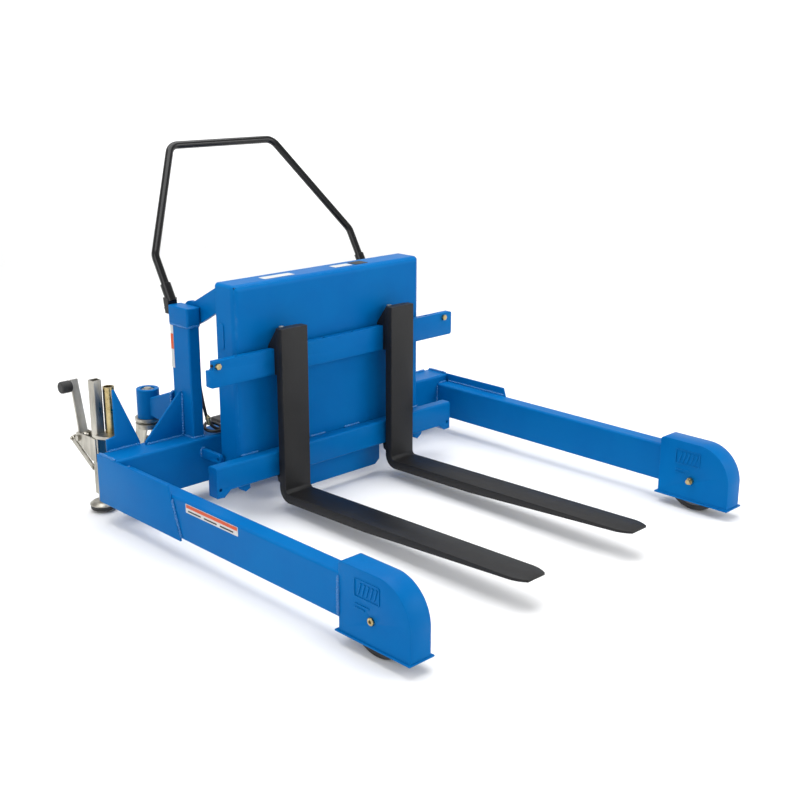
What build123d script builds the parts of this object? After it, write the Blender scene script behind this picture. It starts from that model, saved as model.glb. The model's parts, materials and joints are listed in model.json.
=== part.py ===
"""Portable fork container tilter: straddle chassis, tilting fork carriage and floor lock.

Millimetres. X is across the machine, the forks point to -Y, the operator stands at +Y, Z is up.
The origin is on the floor, midway between the outriggers, a little in front of the post line.
Left means -X, seen from above with the forks pointing down the page.
"""
import os
from math import atan2, cos, degrees, hypot, radians, sin

from build123d import *

os.makedirs("parts", exist_ok=True)

# ---------------------------------------------------------------- driving dimensions
half_width = 728.0            # centre of the machine to the outer face of an outrigger

cross_front, cross_rear = -80.0, 22.0
cross_bottom, cross_top = 70.0, 220.0
tube_wall = 6.0

rail_width, rail_height, rail_bottom = 56.0, 124.0, 68.0
rail_front = -1090.0

plate_thickness = 6.0         # side plates that lap the outrigger roots
plate_bottom = 64.0
plate_front_top, plate_front_bottom = -363.0, -416.0

cover_length, cover_width = 251.0, 69.0
cover_bottom, cover_top = 33.0, 224.0
cover_nose_radius, cover_wall = 112.0, 5.0
cover_rear_radius = 12.0
cover_lip, nose_lip = 8.0, 5.0

wheel_radius, wheel_width = 101.6, 40.0
wheel_y = -1209.0
axle_radius, running_gap = 8.0, 0.05

post_outer_x, post_width = -432.0, 43.0
post_front, post_depth = -61.0, 100.0
post_head_bottom, post_top = 583.0, 642.0

pivot_y, pivot_z = -10.0, 612.0
pivot_pin_radius = 16.0

pan_half_width = 395.0
pan_front, pan_rear = -253.0, -160.0
pan_bottom, pan_top = 100.0, 734.0
pan_sheet, pan_corner, pan_top_corner = 6.0, 20.0, 12.0

upper_bar_left, upper_bar_right = -514.0, 527.0
upper_bar_front, upper_bar_rear = -284.0, -262.0
upper_bar_bottom, upper_bar_top = 446.0, 527.0
lower_bar_half, lower_bar_front = 514.0, -295.0
lower_bar_bottom, lower_bar_top = 115.0, 198.0

fork_offset, fork_width = 232.0, 102.0
shank_front, shank_thickness = -338.0, 29.0
fork_top, blade_top = 598.0, 67.5
hook_half, hook_lip_y, hook_lip_top = 40.0, -255.5, 534.0
blade_length, blade_rise = 973.0, 1.5     # length from the shank's front face, rise in degrees
blade_thickness, tip_thickness = 30.0, 7.0

fork_inner_stop, fork_outer_stop = 62.0, 408.0     # nearest and furthest fork centres
latch_y, latch_radius, latch_travel = -273.0, 5.0, 10.0
latch_seat = 572.0            # underside of the latch knob when it is down

cylinder_x = 200.0
base_pin_y, base_pin_z = -140.0, 120.0
lever_radius, lever_angle = 90.0, 45.0    # tilt pivot to rod pin, and its slope below the pivot
barrel_radius, barrel_length = 35.0, 330.0
rod_radius, eye_radius, eye_width = 15.0, 27.0, 32.0
cheek_gap, cheek_thickness = 40.0, 10.0

handle_radius, handle_x, handle_lean = 12.7, 416.0, 30.0
handle_plane_y, handle_plane_z = 73.0, 693.0        # a point on the leaning plane of the handle
handle_kink, handle_rise, handle_top_half = 107.0, 478.0, 214.0

caster_x, caster_y = -425.0, 205.0
housing_bottom, housing_top, housing_radius = 234.0, 333.0, 38.0
caster_wheel_radius, caster_wheel_width, caster_trail = 76.2, 45.0, 38.0

lock_x, lock_y = -681.0, 96.0
lock_bottom, lock_top, lock_size = 60.0, 432.0, 32.0
pedal_pivot_y, pedal_pivot_z = 186.0, 226.0
link_top_y, link_top_z = 246.0, 208.0
link_foot_y, link_foot_z = 126.0, 138.0
pad_radius, pad_bottom = 41.0, 8.0

rod_pin_y = pivot_y - lever_radius * cos(radians(lever_angle))
rod_pin_z = pivot_z - lever_radius * sin(radians(lever_angle))


def write(piece, name):
    """Label a finished piece and write it as its own STEP file."""
    piece.part.label = name
    export_step(piece.part, f"parts/{name}.step")


def mirrored(piece):
    """The same piece on the right-hand side of the machine."""
    with BuildPart() as right_piece:
        mirror(piece.part, about=Plane.YZ)
    return right_piece


def both_sides(piece):
    """One piece and its mirror image, as two solids of one node."""
    with BuildPart() as pair:
        add(piece.part)
        mirror(piece.part, about=Plane.YZ)
    return pair


def plane_across(x):
    """A sketch plane at this x, seen from +X: sketch x is world Y and sketch y is world Z."""
    return Plane(origin=(x, 0, 0), x_dir=(0, 1, 0), z_dir=(1, 0, 0))


def plane_front(y):
    """A sketch plane at this y, seen from -Y: sketch x is world X and sketch y is world Z."""
    return Plane(origin=(0, y, 0), x_dir=(1, 0, 0), z_dir=(0, -1, 0))


# ---------------------------------------------------------------- chassis weldment
cross_middle_y = (cross_front + cross_rear) / 2
cross_middle_z = (cross_bottom + cross_top) / 2

with BuildPart() as cross_member:
    with BuildSketch(plane_across(-half_width)) as cross_profile:
        with Locations((cross_middle_y, cross_middle_z)):
            RectangleRounded(cross_rear - cross_front, cross_top - cross_bottom, 9)
            RectangleRounded(cross_rear - cross_front - 2 * tube_wall,
                             cross_top - cross_bottom - 2 * tube_wall, 4, mode=Mode.SUBTRACT)
    extrude(amount=2 * half_width)
write(cross_member, "cross_member")

rail_middle_x = -half_width + rail_width / 2
with BuildPart() as outrigger:
    with BuildSketch(plane_front(cross_front)) as rail_profile:
        with Locations((rail_middle_x, rail_bottom + rail_height / 2)):
            RectangleRounded(rail_width, rail_height, 8)
            RectangleRounded(rail_width - 2 * tube_wall, rail_height - 2 * tube_wall, 3,
                             mode=Mode.SUBTRACT)
    extrude(amount=cross_front - rail_front)
write(outrigger, "left_outrigger")
write(mirrored(outrigger), "right_outrigger")

with BuildPart() as side_plate:
    with BuildSketch(plane_across(-half_width - plate_thickness)):
        with BuildLine():
            Polyline((cross_rear, plate_bottom), (cross_rear, cross_top),
                     (plate_front_top, cross_top), (plate_front_bottom, plate_bottom), close=True)
        make_face()
    extrude(amount=plate_thickness)
write(both_sides(side_plate), "side_plates")

with BuildPart() as wheel_cover:
    cover_rear, cover_nose = rail_front, rail_front - cover_length
    with BuildSketch(plane_across(-half_width)) as cover_outline:
        with BuildLine():
            Line((cover_rear, cover_bottom), (cover_rear, cover_top - cover_rear_radius))
            RadiusArc((cover_rear, cover_top - cover_rear_radius),
                      (cover_rear - cover_rear_radius, cover_top),
                      -cover_rear_radius)
            Line((cover_rear - cover_rear_radius, cover_top), (cover_nose + cover_nose_radius, cover_top))
            RadiusArc((cover_nose + cover_nose_radius, cover_top),
                      (cover_nose, cover_top - cover_nose_radius), -cover_nose_radius)
            Line((cover_nose, cover_top - cover_nose_radius), (cover_nose, cover_bottom))
            Line((cover_nose, cover_bottom), (cover_rear, cover_bottom))
        make_face()
    extrude(amount=cover_width)
    with BuildSketch(plane_across(-half_width + cover_wall)):
        with BuildLine():
            Line((cover_rear - cover_wall, cover_bottom),
                 (cover_rear - cover_wall, cover_top - cover_rear_radius))
            RadiusArc((cover_rear - cover_wall, cover_top - cover_rear_radius),
                      (cover_rear - cover_rear_radius, cover_top - cover_wall),
                      -(cover_rear_radius - cover_wall))
            Line((cover_rear - cover_rear_radius, cover_top - cover_wall),
                 (cover_nose + cover_nose_radius, cover_top - cover_wall))
            RadiusArc((cover_nose + cover_nose_radius, cover_top - cover_wall),
                      (cover_nose + cover_wall, cover_top - cover_nose_radius),
                      -(cover_nose_radius - cover_wall))
            Line((cover_nose + cover_wall, cover_top - cover_nose_radius),
                 (cover_nose + cover_wall, cover_bottom))
            Line((cover_nose + cover_wall, cover_bottom), (cover_rear - cover_wall, cover_bottom))
        make_face()
    extrude(amount=cover_width - 2 * cover_wall, mode=Mode.SUBTRACT)
    with BuildSketch(Plane.XY.offset(cover_bottom)):
        with Locations((-half_width + cover_width / 2,
                        (cover_rear + cover_lip + cover_nose - nose_lip) / 2)):
            Rectangle(cover_width + 2 * cover_lip, cover_length + cover_lip + nose_lip)
        with Locations((-half_width + cover_width / 2, (cover_rear + cover_nose) / 2)):
            Rectangle(cover_width - 2 * cover_wall, cover_length - 2 * cover_wall,
                      mode=Mode.SUBTRACT)
    extrude(amount=cover_wall)
    with BuildSketch(plane_across(-half_width)):
        with Locations((wheel_y, wheel_radius)):
            Circle(axle_radius)
    extrude(amount=cover_width, mode=Mode.SUBTRACT)
write(wheel_cover, "left_wheel_cover")
write(mirrored(wheel_cover), "right_wheel_cover")

post_middle_x = post_outer_x + post_width / 2
post_middle_y = post_front + post_depth / 2
with BuildPart() as post:
    with BuildSketch(Plane.XY.offset(cross_top)):
        with Locations((post_middle_x, post_middle_y)):
            RectangleRounded(post_width, post_depth, 6)
            RectangleRounded(post_width - 10, post_depth - 10, 3, mode=Mode.SUBTRACT)
    extrude(amount=post_head_bottom - cross_top)
write(post, "left_post")
write(mirrored(post), "right_post")

head_width, head_depth = post_width + 8, post_depth + 6
pin_seat_x = post_middle_x - head_width / 2 + 5.0
with BuildPart() as post_head:
    with BuildSketch(Plane.XY.offset(post_head_bottom)):
        with Locations((post_middle_x, post_middle_y)):
            RectangleRounded(head_width, head_depth, 8)
    extrude(amount=post_top - post_head_bottom)
    fillet(post_head.faces().sort_by(Axis.Z)[-1].edges(), 4)
    # The pin's bore stops short of the outer face, which is plain.
    with BuildSketch(plane_across(pin_seat_x)):
        with Locations((pivot_y, pivot_z)):
            Circle(pivot_pin_radius)
    extrude(amount=2 * head_width, mode=Mode.SUBTRACT)
write(both_sides(post_head), "post_heads")

stop_lug_x, stop_lug_end = 411.0, -168.0
stop_lug_z, stop_lug_half = 173.0, 15.0
gusset_foot_x, gusset_thickness = -576.0, 8.0
# Triangular plates: one behind each post, and the tall one that stiffens the floor lock's corner.
post_gusset_outline = [(post_outer_x, cross_top), (post_outer_x, 366), (post_outer_x - 10, 366),
                       (gusset_foot_x, 230), (gusset_foot_x, cross_top)]
corner_gusset_outline = [(-700, cross_top), (-700, 258), (-668, 264), (-668, 412), (-662, 412),
                         (gusset_foot_x - 6, 228), (gusset_foot_x - 6, cross_top)]
with BuildPart() as post_gusset:
    with BuildSketch(plane_front(-2)):
        with BuildLine():
            Polyline(*post_gusset_outline, close=True)
        make_face()
    extrude(amount=gusset_thickness)
with BuildPart() as base_gussets:
    add(post_gusset.part)
    mirror(post_gusset.part, about=Plane.YZ)
    with BuildSketch(plane_front(cross_rear)):
        with BuildLine():
            Polyline(*corner_gusset_outline, close=True)
        make_face()
    extrude(amount=gusset_thickness)
    # Rounded lugs that reach forward from the cross-member to the lower bar, each with a pin hole.
    for lug_x in (-stop_lug_x - 7, stop_lug_x - 7):
        with BuildSketch(plane_across(lug_x)):
            with BuildLine():
                Polyline((cross_front, stop_lug_z - stop_lug_half),
                         (cross_front, stop_lug_z + stop_lug_half),
                         (stop_lug_end, stop_lug_z + stop_lug_half),
                         (stop_lug_end, stop_lug_z - stop_lug_half), close=True)
            make_face()
            with Locations((stop_lug_end, stop_lug_z)):
                Circle(stop_lug_half)
                Circle(5.5, mode=Mode.SUBTRACT)
        extrude(amount=14)
write(base_gussets, "base_gussets")

housing_bore = 23.0
with BuildPart() as caster_housing:
    with BuildSketch(Plane.XY.offset(housing_bottom)):
        with Locations((caster_x, caster_y)):
            Circle(housing_radius)
            Circle(housing_bore, mode=Mode.SUBTRACT)
    extrude(amount=housing_top - housing_bottom)
    fillet(caster_housing.faces().sort_by(Axis.Z)[-1].edges(), 3)
bracket_half, bracket_round = 16.0, 6.0
bracket_rear_z, bracket_front_z = 296.0, 358.0      # its top edge, at the tube and at the post
with BuildPart() as caster_bracket:
    post_rear = post_front + post_depth
    with BuildSketch(plane_across(caster_x - bracket_half)):
        with BuildLine():
            Polyline((post_rear, housing_bottom + 6), (caster_y, housing_bottom + 16),
                     (caster_y, bracket_rear_z), (post_rear, bracket_front_z), close=True)
        make_face()
    extrude(amount=2 * bracket_half)
    sloping_top = caster_bracket.faces().sort_by(Axis.Z)[-1]
    fillet(sloping_top.edges().filter_by(Axis.X, reverse=True), bracket_round)
    with BuildSketch(Plane.XY.offset(housing_bottom - 10)):
        with Locations((caster_x, caster_y)):
            Circle(housing_radius)
    extrude(amount=housing_top - housing_bottom + 60, mode=Mode.SUBTRACT)
with BuildPart() as caster_housings:
    add(caster_housing.part)
    mirror(caster_housing.part, about=Plane.YZ)
    add(caster_bracket.part)
    mirror(caster_bracket.part, about=Plane.YZ)
write(caster_housings, "caster_housings")

kingpin_radius = 9.0
with BuildPart() as kingpin:
    with BuildSketch(Plane(origin=(caster_x, caster_y, 0), x_dir=(1, 0, 0), z_dir=(0, -1, 0))):
        with BuildLine():
            Polyline((0, 190), (16, 190), (16, 196), (kingpin_radius, 196), (kingpin_radius, 216),
                     (30, 216), (30, 224), (47, 224), (47, housing_bottom), (10, housing_bottom),
                     (10, housing_top - 20), (housing_bore - 0.2, housing_top - 20),
                     (housing_bore - 0.2, housing_top - 7), (housing_bore - 3, housing_top - 4),
                     (13, housing_top - 3), (12, housing_top + 1), (0, housing_top + 2), close=True)
        make_face()
    revolve(axis=Axis((caster_x, caster_y, 0), (0, 0, 1)))
write(both_sides(kingpin), "caster_kingpins")

# ---------------------------------------------------------------- push handle and its sockets
lean = radians(handle_lean)
handle_plane = Plane(origin=(0, handle_plane_y, handle_plane_z), x_dir=(1, 0, 0),
                     z_dir=(0, -cos(lean), sin(lean)))
leg_foot = -46.0
with BuildPart() as push_handle:
    with BuildLine(handle_plane) as handle_path:
        FilletPolyline((-handle_x, leg_foot), (-handle_x, handle_kink),
                       (-handle_top_half, handle_rise), (handle_top_half, handle_rise),
                       (handle_x, handle_kink), (handle_x, leg_foot), radius=45)
    with BuildSketch(Plane(origin=handle_path.line @ 0, z_dir=handle_path.line % 0)):
        Circle(handle_radius)
        Circle(handle_radius - 2.5, mode=Mode.SUBTRACT)
    sweep()
write(push_handle, "push_handle")

socket_radius, socket_top = 17.0, 8.0
with BuildPart() as handle_socket:
    with BuildSketch(Plane(origin=handle_plane.from_local_coords((-handle_x, leg_foot - 6, 0)),
                           x_dir=(1, 0, 0), z_dir=(0, sin(lean), cos(lean)))):
        Circle(socket_radius)
    extrude(amount=socket_top - leg_foot + 6)
    with BuildSketch(plane_across(-handle_x - socket_radius)):
        with BuildLine():
            Polyline((42, 611), (60, 611), (70, 660), (42, 660), close=True)
        make_face()
    extrude(amount=2 * socket_radius)
    with BuildSketch(Plane.XY.offset(post_top - 60)):
        with Locations((post_middle_x, post_middle_y)):
            Rectangle(head_width + 4, head_depth)
    extrude(amount=60, mode=Mode.SUBTRACT)
    with BuildSketch(Plane(origin=handle_plane.from_local_coords((-handle_x, leg_foot, 0)),
                           x_dir=(1, 0, 0), z_dir=(0, sin(lean), cos(lean)))):
        Circle(handle_radius + 0.1)
    extrude(amount=80, mode=Mode.SUBTRACT)
write(both_sides(handle_socket), "handle_sockets")

with BuildPart() as socket_knob:
    knob_z = 624.0
    knob_y = 60.0 + (knob_z - 611.0) * 10.0 / 49.0
    with BuildSketch(Plane(origin=(-handle_x, knob_y + 2.2, knob_z), x_dir=(1, 0, 0), z_dir=(0, 1, 0))):
        RegularPolygon(11, 6)
    extrude(amount=12)
    fillet(socket_knob.faces().sort_by(Axis.Y)[-1].edges(), 2)
write(both_sides(socket_knob), "socket_knobs")

pin_end_x, pin_ring = -365.0, 3.5
with BuildPart() as pivot_pin:
    with BuildSketch(plane_across(pin_seat_x)):
        with Locations((pivot_y, pivot_z)):
            Circle(pivot_pin_radius)
    extrude(amount=pin_end_x - pin_seat_x)
    chamfer(pivot_pin.faces().sort_by(Axis.X)[-1].edges(), 1)
    with BuildSketch(plane_across(pin_end_x - 1 - pin_ring)):
        with Locations((pivot_y, pivot_z)):
            Circle(22)
    extrude(amount=pin_ring)
write(both_sides(pivot_pin), "pivot_pins")

# ---------------------------------------------------------------- cylinder feet on the chassis
base_pin_radius = 12.0
lug_gap, lug_thickness = 36.0, 8.0
with BuildPart() as base_lugs:
    with BuildSketch(plane_across(-cylinder_x - lug_gap / 2 - lug_thickness)) as lug_profile:
        with BuildLine():
            Polyline((cross_front, 88), (cross_front, 142), (base_pin_y + 8, base_pin_z + 24),
                     (base_pin_y, base_pin_z - 26), close=True)
        make_face()
        with Locations((base_pin_y, base_pin_z)):
            Circle(26)
            Circle(base_pin_radius, mode=Mode.SUBTRACT)
    extrude(amount=lug_thickness)
    mirror(about=Plane.YZ.offset(-cylinder_x))
write(both_sides(base_lugs), "cylinder_base_lugs")

with BuildPart() as base_pin:
    pin_half = lug_gap / 2 + lug_thickness
    with BuildSketch(plane_across(-cylinder_x - pin_half - 6)):
        with Locations((base_pin_y, base_pin_z)):
            Circle(base_pin_radius)
    extrude(amount=2 * pin_half + 12)
    with BuildSketch(plane_across(-cylinder_x - pin_half)):
        with Locations((base_pin_y, base_pin_z)):
            Circle(18)
    extrude(amount=-5)
write(both_sides(base_pin), "cylinder_base_pins")

# ---------------------------------------------------------------- front wheels and their axles
front_wheel_x = -half_width + cover_width / 2
head_radius, head_height = 10.5, 6.0       # round axle head with a hexagon socket
with BuildPart() as front_axle:
    with BuildSketch(plane_across(-half_width - 3)):
        with Locations((wheel_y, wheel_radius)):
            Circle(axle_radius)
    extrude(amount=cover_width + 22)
    with BuildSketch(plane_across(-half_width)):
        with Locations((wheel_y, wheel_radius)):
            Circle(head_radius)
    extrude(amount=-head_height)
    fillet(front_axle.faces().sort_by(Axis.X)[0].edges(), 2)
    with BuildSketch(plane_across(-half_width - head_height)):
        with Locations((wheel_y, wheel_radius)):
            RegularPolygon(5, 6)
    extrude(amount=4, mode=Mode.SUBTRACT)
with BuildPart() as front_nut:
    with BuildSketch(plane_across(-half_width + cover_width)):
        with Locations((wheel_y, wheel_radius)):
            RegularPolygon(11.5, 6)
            Circle(axle_radius, mode=Mode.SUBTRACT)
    extrude(amount=11)
with BuildPart() as front_axles:
    for fastener in (front_axle, front_nut):
        add(fastener.part)
        mirror(fastener.part, about=Plane.YZ)
write(front_axles, "front_axle_bolts")

tread_depth = 16.0
with BuildPart() as front_tyre:
    with BuildSketch(plane_across(front_wheel_x - wheel_width / 2)):
        with Locations((wheel_y, wheel_radius)):
            Circle(wheel_radius)
    extrude(amount=wheel_width)
    fillet(front_tyre.edges(), 5)
    with BuildSketch(plane_across(front_wheel_x - wheel_width / 2)):
        with Locations((wheel_y, wheel_radius)):
            Circle(wheel_radius - tread_depth)
    extrude(amount=wheel_width, mode=Mode.SUBTRACT)
write(front_tyre, "left_front_tyre")
write(mirrored(front_tyre), "right_front_tyre")

hub_half = cover_width / 2 - cover_wall - 1.0
with BuildPart() as front_hub:
    with BuildSketch(plane_across(front_wheel_x - wheel_width / 2 + 2)):
        with Locations((wheel_y, wheel_radius)):
            Circle(wheel_radius - tread_depth)
            Circle(wheel_radius - tread_depth - 9, mode=Mode.SUBTRACT)
    extrude(amount=wheel_width - 4)
    with BuildSketch(plane_across(front_wheel_x - 6)):
        with Locations((wheel_y, wheel_radius)):
            Circle(wheel_radius - tread_depth - 8)
    extrude(amount=12)
    with BuildSketch(plane_across(front_wheel_x - hub_half)):
        with Locations((wheel_y, wheel_radius)):
            Circle(26)
    extrude(amount=2 * hub_half)
    with BuildSketch(plane_across(front_wheel_x - hub_half)):
        with Locations((wheel_y, wheel_radius)):
            Circle(axle_radius + running_gap)
    extrude(amount=2 * hub_half, mode=Mode.SUBTRACT)
write(front_hub, "left_front_hub")
write(mirrored(front_hub), "right_front_hub")

# ---------------------------------------------------------------- swivel casters
caster_wheel_y = caster_y + caster_trail
yoke_inner = caster_wheel_width / 2 + 4.0
leg_thickness, caster_bolt_radius = 6.0, 6.0
yoke_plate_bottom, yoke_plate_thickness = 200.0, 15.0
leg_foot_radius = 17.0
with BuildPart() as yoke:
    with BuildSketch(Plane.XY.offset(yoke_plate_bottom)):
        with Locations((caster_x, caster_y)):
            Circle(46)
    extrude(amount=yoke_plate_thickness)
    for leg_x in (caster_x - yoke_inner - leg_thickness, caster_x + yoke_inner):
        with BuildSketch(plane_across(leg_x)):
            with BuildLine():
                Polyline((caster_y - 30, yoke_plate_bottom + 2), (caster_y + 32, yoke_plate_bottom + 2),
                         (caster_wheel_y + leg_foot_radius, caster_wheel_radius),
                         (caster_wheel_y - leg_foot_radius, caster_wheel_radius), close=True)
            make_face()
            with Locations((caster_wheel_y, caster_wheel_radius)):
                Circle(leg_foot_radius)
        extrude(amount=leg_thickness)
    with BuildSketch(Plane.XY.offset(yoke_plate_bottom)):
        with Locations((caster_x, caster_y)):
            Circle(kingpin_radius + running_gap)
    extrude(amount=yoke_plate_thickness, mode=Mode.SUBTRACT)
    with BuildSketch(plane_across(caster_x - 60)):
        with Locations((caster_wheel_y, caster_wheel_radius)):
            Circle(caster_bolt_radius)
    extrude(amount=120, mode=Mode.SUBTRACT)
yoke_outer = yoke_inner + leg_thickness
with BuildPart() as caster_bolt:
    with BuildSketch(plane_across(caster_x - yoke_outer)):
        with Locations((caster_wheel_y, caster_wheel_radius)):
            Circle(caster_bolt_radius)
    extrude(amount=2 * yoke_outer)
    with BuildSketch(plane_across(caster_x - yoke_outer)):
        with Locations((caster_wheel_y, caster_wheel_radius)):
            RegularPolygon(10, 6)
    extrude(amount=-7)
    with BuildSketch(plane_across(caster_x + yoke_outer)):
        with Locations((caster_wheel_y, caster_wheel_radius)):
            RegularPolygon(10, 6)
    extrude(amount=9)


def pair_of_solids(first, second):
    """Two touching solids kept apart in one node."""
    return Compound(children=[first.part, second.part])


left_yoke_pair = pair_of_solids(yoke, caster_bolt)
left_yoke_pair.label = "left_caster_yoke"
export_step(left_yoke_pair, "parts/left_caster_yoke.step")
right_yoke_pair = pair_of_solids(mirrored(yoke), mirrored(caster_bolt))
right_yoke_pair.label = "right_caster_yoke"
export_step(right_yoke_pair, "parts/right_caster_yoke.step")

caster_tread = 12.0
with BuildPart() as caster_tyre:
    with BuildSketch(plane_across(caster_x - caster_wheel_width / 2)):
        with Locations((caster_wheel_y, caster_wheel_radius)):
            Circle(caster_wheel_radius)
    extrude(amount=caster_wheel_width)
    fillet(caster_tyre.edges(), 5)
    with BuildSketch(plane_across(caster_x - caster_wheel_width / 2)):
        with Locations((caster_wheel_y, caster_wheel_radius)):
            Circle(caster_wheel_radius - caster_tread)
    extrude(amount=caster_wheel_width, mode=Mode.SUBTRACT)
write(caster_tyre, "left_caster_tyre")
write(mirrored(caster_tyre), "right_caster_tyre")

with BuildPart() as caster_hub:
    with BuildSketch(plane_across(caster_x - caster_wheel_width / 2 + 2)):
        with Locations((caster_wheel_y, caster_wheel_radius)):
            Circle(caster_wheel_radius - caster_tread)
            Circle(caster_wheel_radius - caster_tread - 8, mode=Mode.SUBTRACT)
    extrude(amount=caster_wheel_width - 4)
    with BuildSketch(plane_across(caster_x - 5)):
        with Locations((caster_wheel_y, caster_wheel_radius)):
            Circle(caster_wheel_radius - caster_tread - 7)
    extrude(amount=10)
    with BuildSketch(plane_across(caster_x - yoke_inner + 0.5)):
        with Locations((caster_wheel_y, caster_wheel_radius)):
            Circle(18)
    extrude(amount=2 * yoke_inner - 1)
    with BuildSketch(plane_across(caster_x - 40)):
        with Locations((caster_wheel_y, caster_wheel_radius)):
            Circle(caster_bolt_radius + running_gap)
    extrude(amount=80, mode=Mode.SUBTRACT)
write(caster_hub, "left_caster_hub")
write(mirrored(caster_hub), "right_caster_hub")

# ---------------------------------------------------------------- tilting frame
pan_middle_y = (pan_front + pan_rear) / 2
with BuildPart() as back_pan:
    with BuildSketch(Plane.XY.offset(pan_bottom)):
        with Locations((0, pan_middle_y)):
            Rectangle(2 * pan_half_width, pan_rear - pan_front)
    extrude(amount=pan_top - pan_bottom)
    front_edges = back_pan.faces().sort_by(Axis.Y)[0].edges()
    fillet(front_edges.sort_by(Axis.Z)[1:], pan_corner)
    fillet(back_pan.edges().filter_by(Axis.Y).group_by(Axis.Z)[-1], pan_top_corner)
    with BuildSketch(Plane.XY.offset(pan_bottom)):
        with Locations((0, pan_middle_y + pan_sheet)):
            Rectangle(2 * (pan_half_width - pan_sheet), pan_rear - pan_front)
    extrude(amount=pan_top - pan_bottom - pan_sheet, mode=Mode.SUBTRACT)
write(back_pan, "back_pan")

pan_inside = pan_front + pan_sheet
rib_depth, rib_height, rib_thickness, rib_middle_z = 60.0, 506.0, 6.0, 458.0
with BuildPart() as pan_ribs:
    for rib_x in (-66, 60):
        with BuildSketch(plane_across(rib_x)):
            with Locations((pan_inside + rib_depth / 2, rib_middle_z)):
                Rectangle(rib_depth, rib_height)
        extrude(amount=rib_thickness)
write(pan_ribs, "pan_ribs")

arm_inner_x, arm_thickness = -383.0, 12.0
arm_boss_radius, bush_radius = 42.0, 21.0
arm_outline = [(pan_inside, 724), (-167, 722), (-141, 712), (-24, 652), (6, 600), (-20, 572),
               (-74, 597), (-145, 636), (-165, 620), (pan_inside, 560)]
with BuildPart() as tilt_arm:
    with BuildSketch(plane_across(arm_inner_x)):
        with BuildLine():
            Polyline(*arm_outline, close=True)
        make_face()
        with Locations((pivot_y, pivot_z)):
            Circle(arm_boss_radius)
            Circle(bush_radius, mode=Mode.SUBTRACT)
    extrude(amount=arm_thickness)
write(both_sides(tilt_arm), "tilt_arms")

with BuildPart() as pivot_bush:
    with BuildSketch(plane_across(arm_inner_x - 1)):
        with Locations((pivot_y, pivot_z)):
            Circle(bush_radius)
            Circle(pivot_pin_radius + running_gap, mode=Mode.SUBTRACT)
    extrude(amount=arm_thickness + 2)
write(both_sides(pivot_bush), "pivot_bushes")

cheek_half = cheek_gap / 2
with BuildPart() as cheek_pair:
    with BuildSketch(plane_across(-cylinder_x - cheek_half - cheek_thickness)):
        with BuildLine():
            Polyline((pan_inside, 690), (pan_inside, 470), (rod_pin_y - 46, rod_pin_z - 34),
                     (rod_pin_y, rod_pin_z - 32), (rod_pin_y + 20, rod_pin_z + 25),
                     (rod_pin_y - 30, rod_pin_z + 60), close=True)
        make_face()
        with Locations((rod_pin_y, rod_pin_z)):
            Circle(32)
    extrude(amount=cheek_thickness)
    mirror(about=Plane.YZ.offset(-cylinder_x))
write(both_sides(cheek_pair), "lever_cheeks")

with BuildPart() as cheek_bolts:
    with BuildSketch(plane_across(-cylinder_x - cheek_half - cheek_thickness)):
        with Locations((rod_pin_y, rod_pin_z)):
            Circle(20)
    extrude(amount=-4)
    with BuildSketch(plane_across(-cylinder_x - cheek_half - cheek_thickness - 4)):
        with Locations((rod_pin_y, rod_pin_z)):
            RegularPolygon(16, 6)
    extrude(amount=-8)
    mirror(about=Plane.YZ.offset(-cylinder_x))

upper_bar_middle = (upper_bar_bottom + upper_bar_top) / 2
with BuildPart() as upper_bar:
    with BuildSketch(plane_front(upper_bar_rear)):
        with Locations(((upper_bar_left + upper_bar_right) / 2, upper_bar_middle)):
            RectangleRounded(upper_bar_right - upper_bar_left, upper_bar_top - upper_bar_bottom, 9)
        with Locations((upper_bar_left, upper_bar_top)):
            RectangleRounded(34, 54, 7, mode=Mode.SUBTRACT)
    extrude(amount=upper_bar_rear - upper_bar_front)
    with BuildSketch(plane_front(pan_front)):
        for spacer_x in (-340, -115, 115, 340):
            with Locations((spacer_x, upper_bar_middle - 8)):
                Rectangle(70, 50)
    extrude(amount=pan_front - upper_bar_rear)
    with BuildSketch(Plane.XY.offset(upper_bar_top)):
        for stop_x in (fork_inner_stop, fork_offset, fork_outer_stop):
            with Locations((-stop_x, latch_y), (stop_x, latch_y)):
                Circle(latch_radius + 0.5)
    extrude(amount=-14, mode=Mode.SUBTRACT)
write(upper_bar, "upper_fork_bar")

with BuildPart() as stop_bolt:
    with BuildSketch(plane_front(upper_bar_front)):
        with Locations((upper_bar_left + 28, upper_bar_top - 16)):
            RegularPolygon(10, 6)
    extrude(amount=9)
with BuildPart() as frame_bolts:
    for fastener in (stop_bolt, cheek_bolts):
        add(fastener.part)
        mirror(fastener.part, about=Plane.YZ)
write(frame_bolts, "tilt_frame_bolts")

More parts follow.
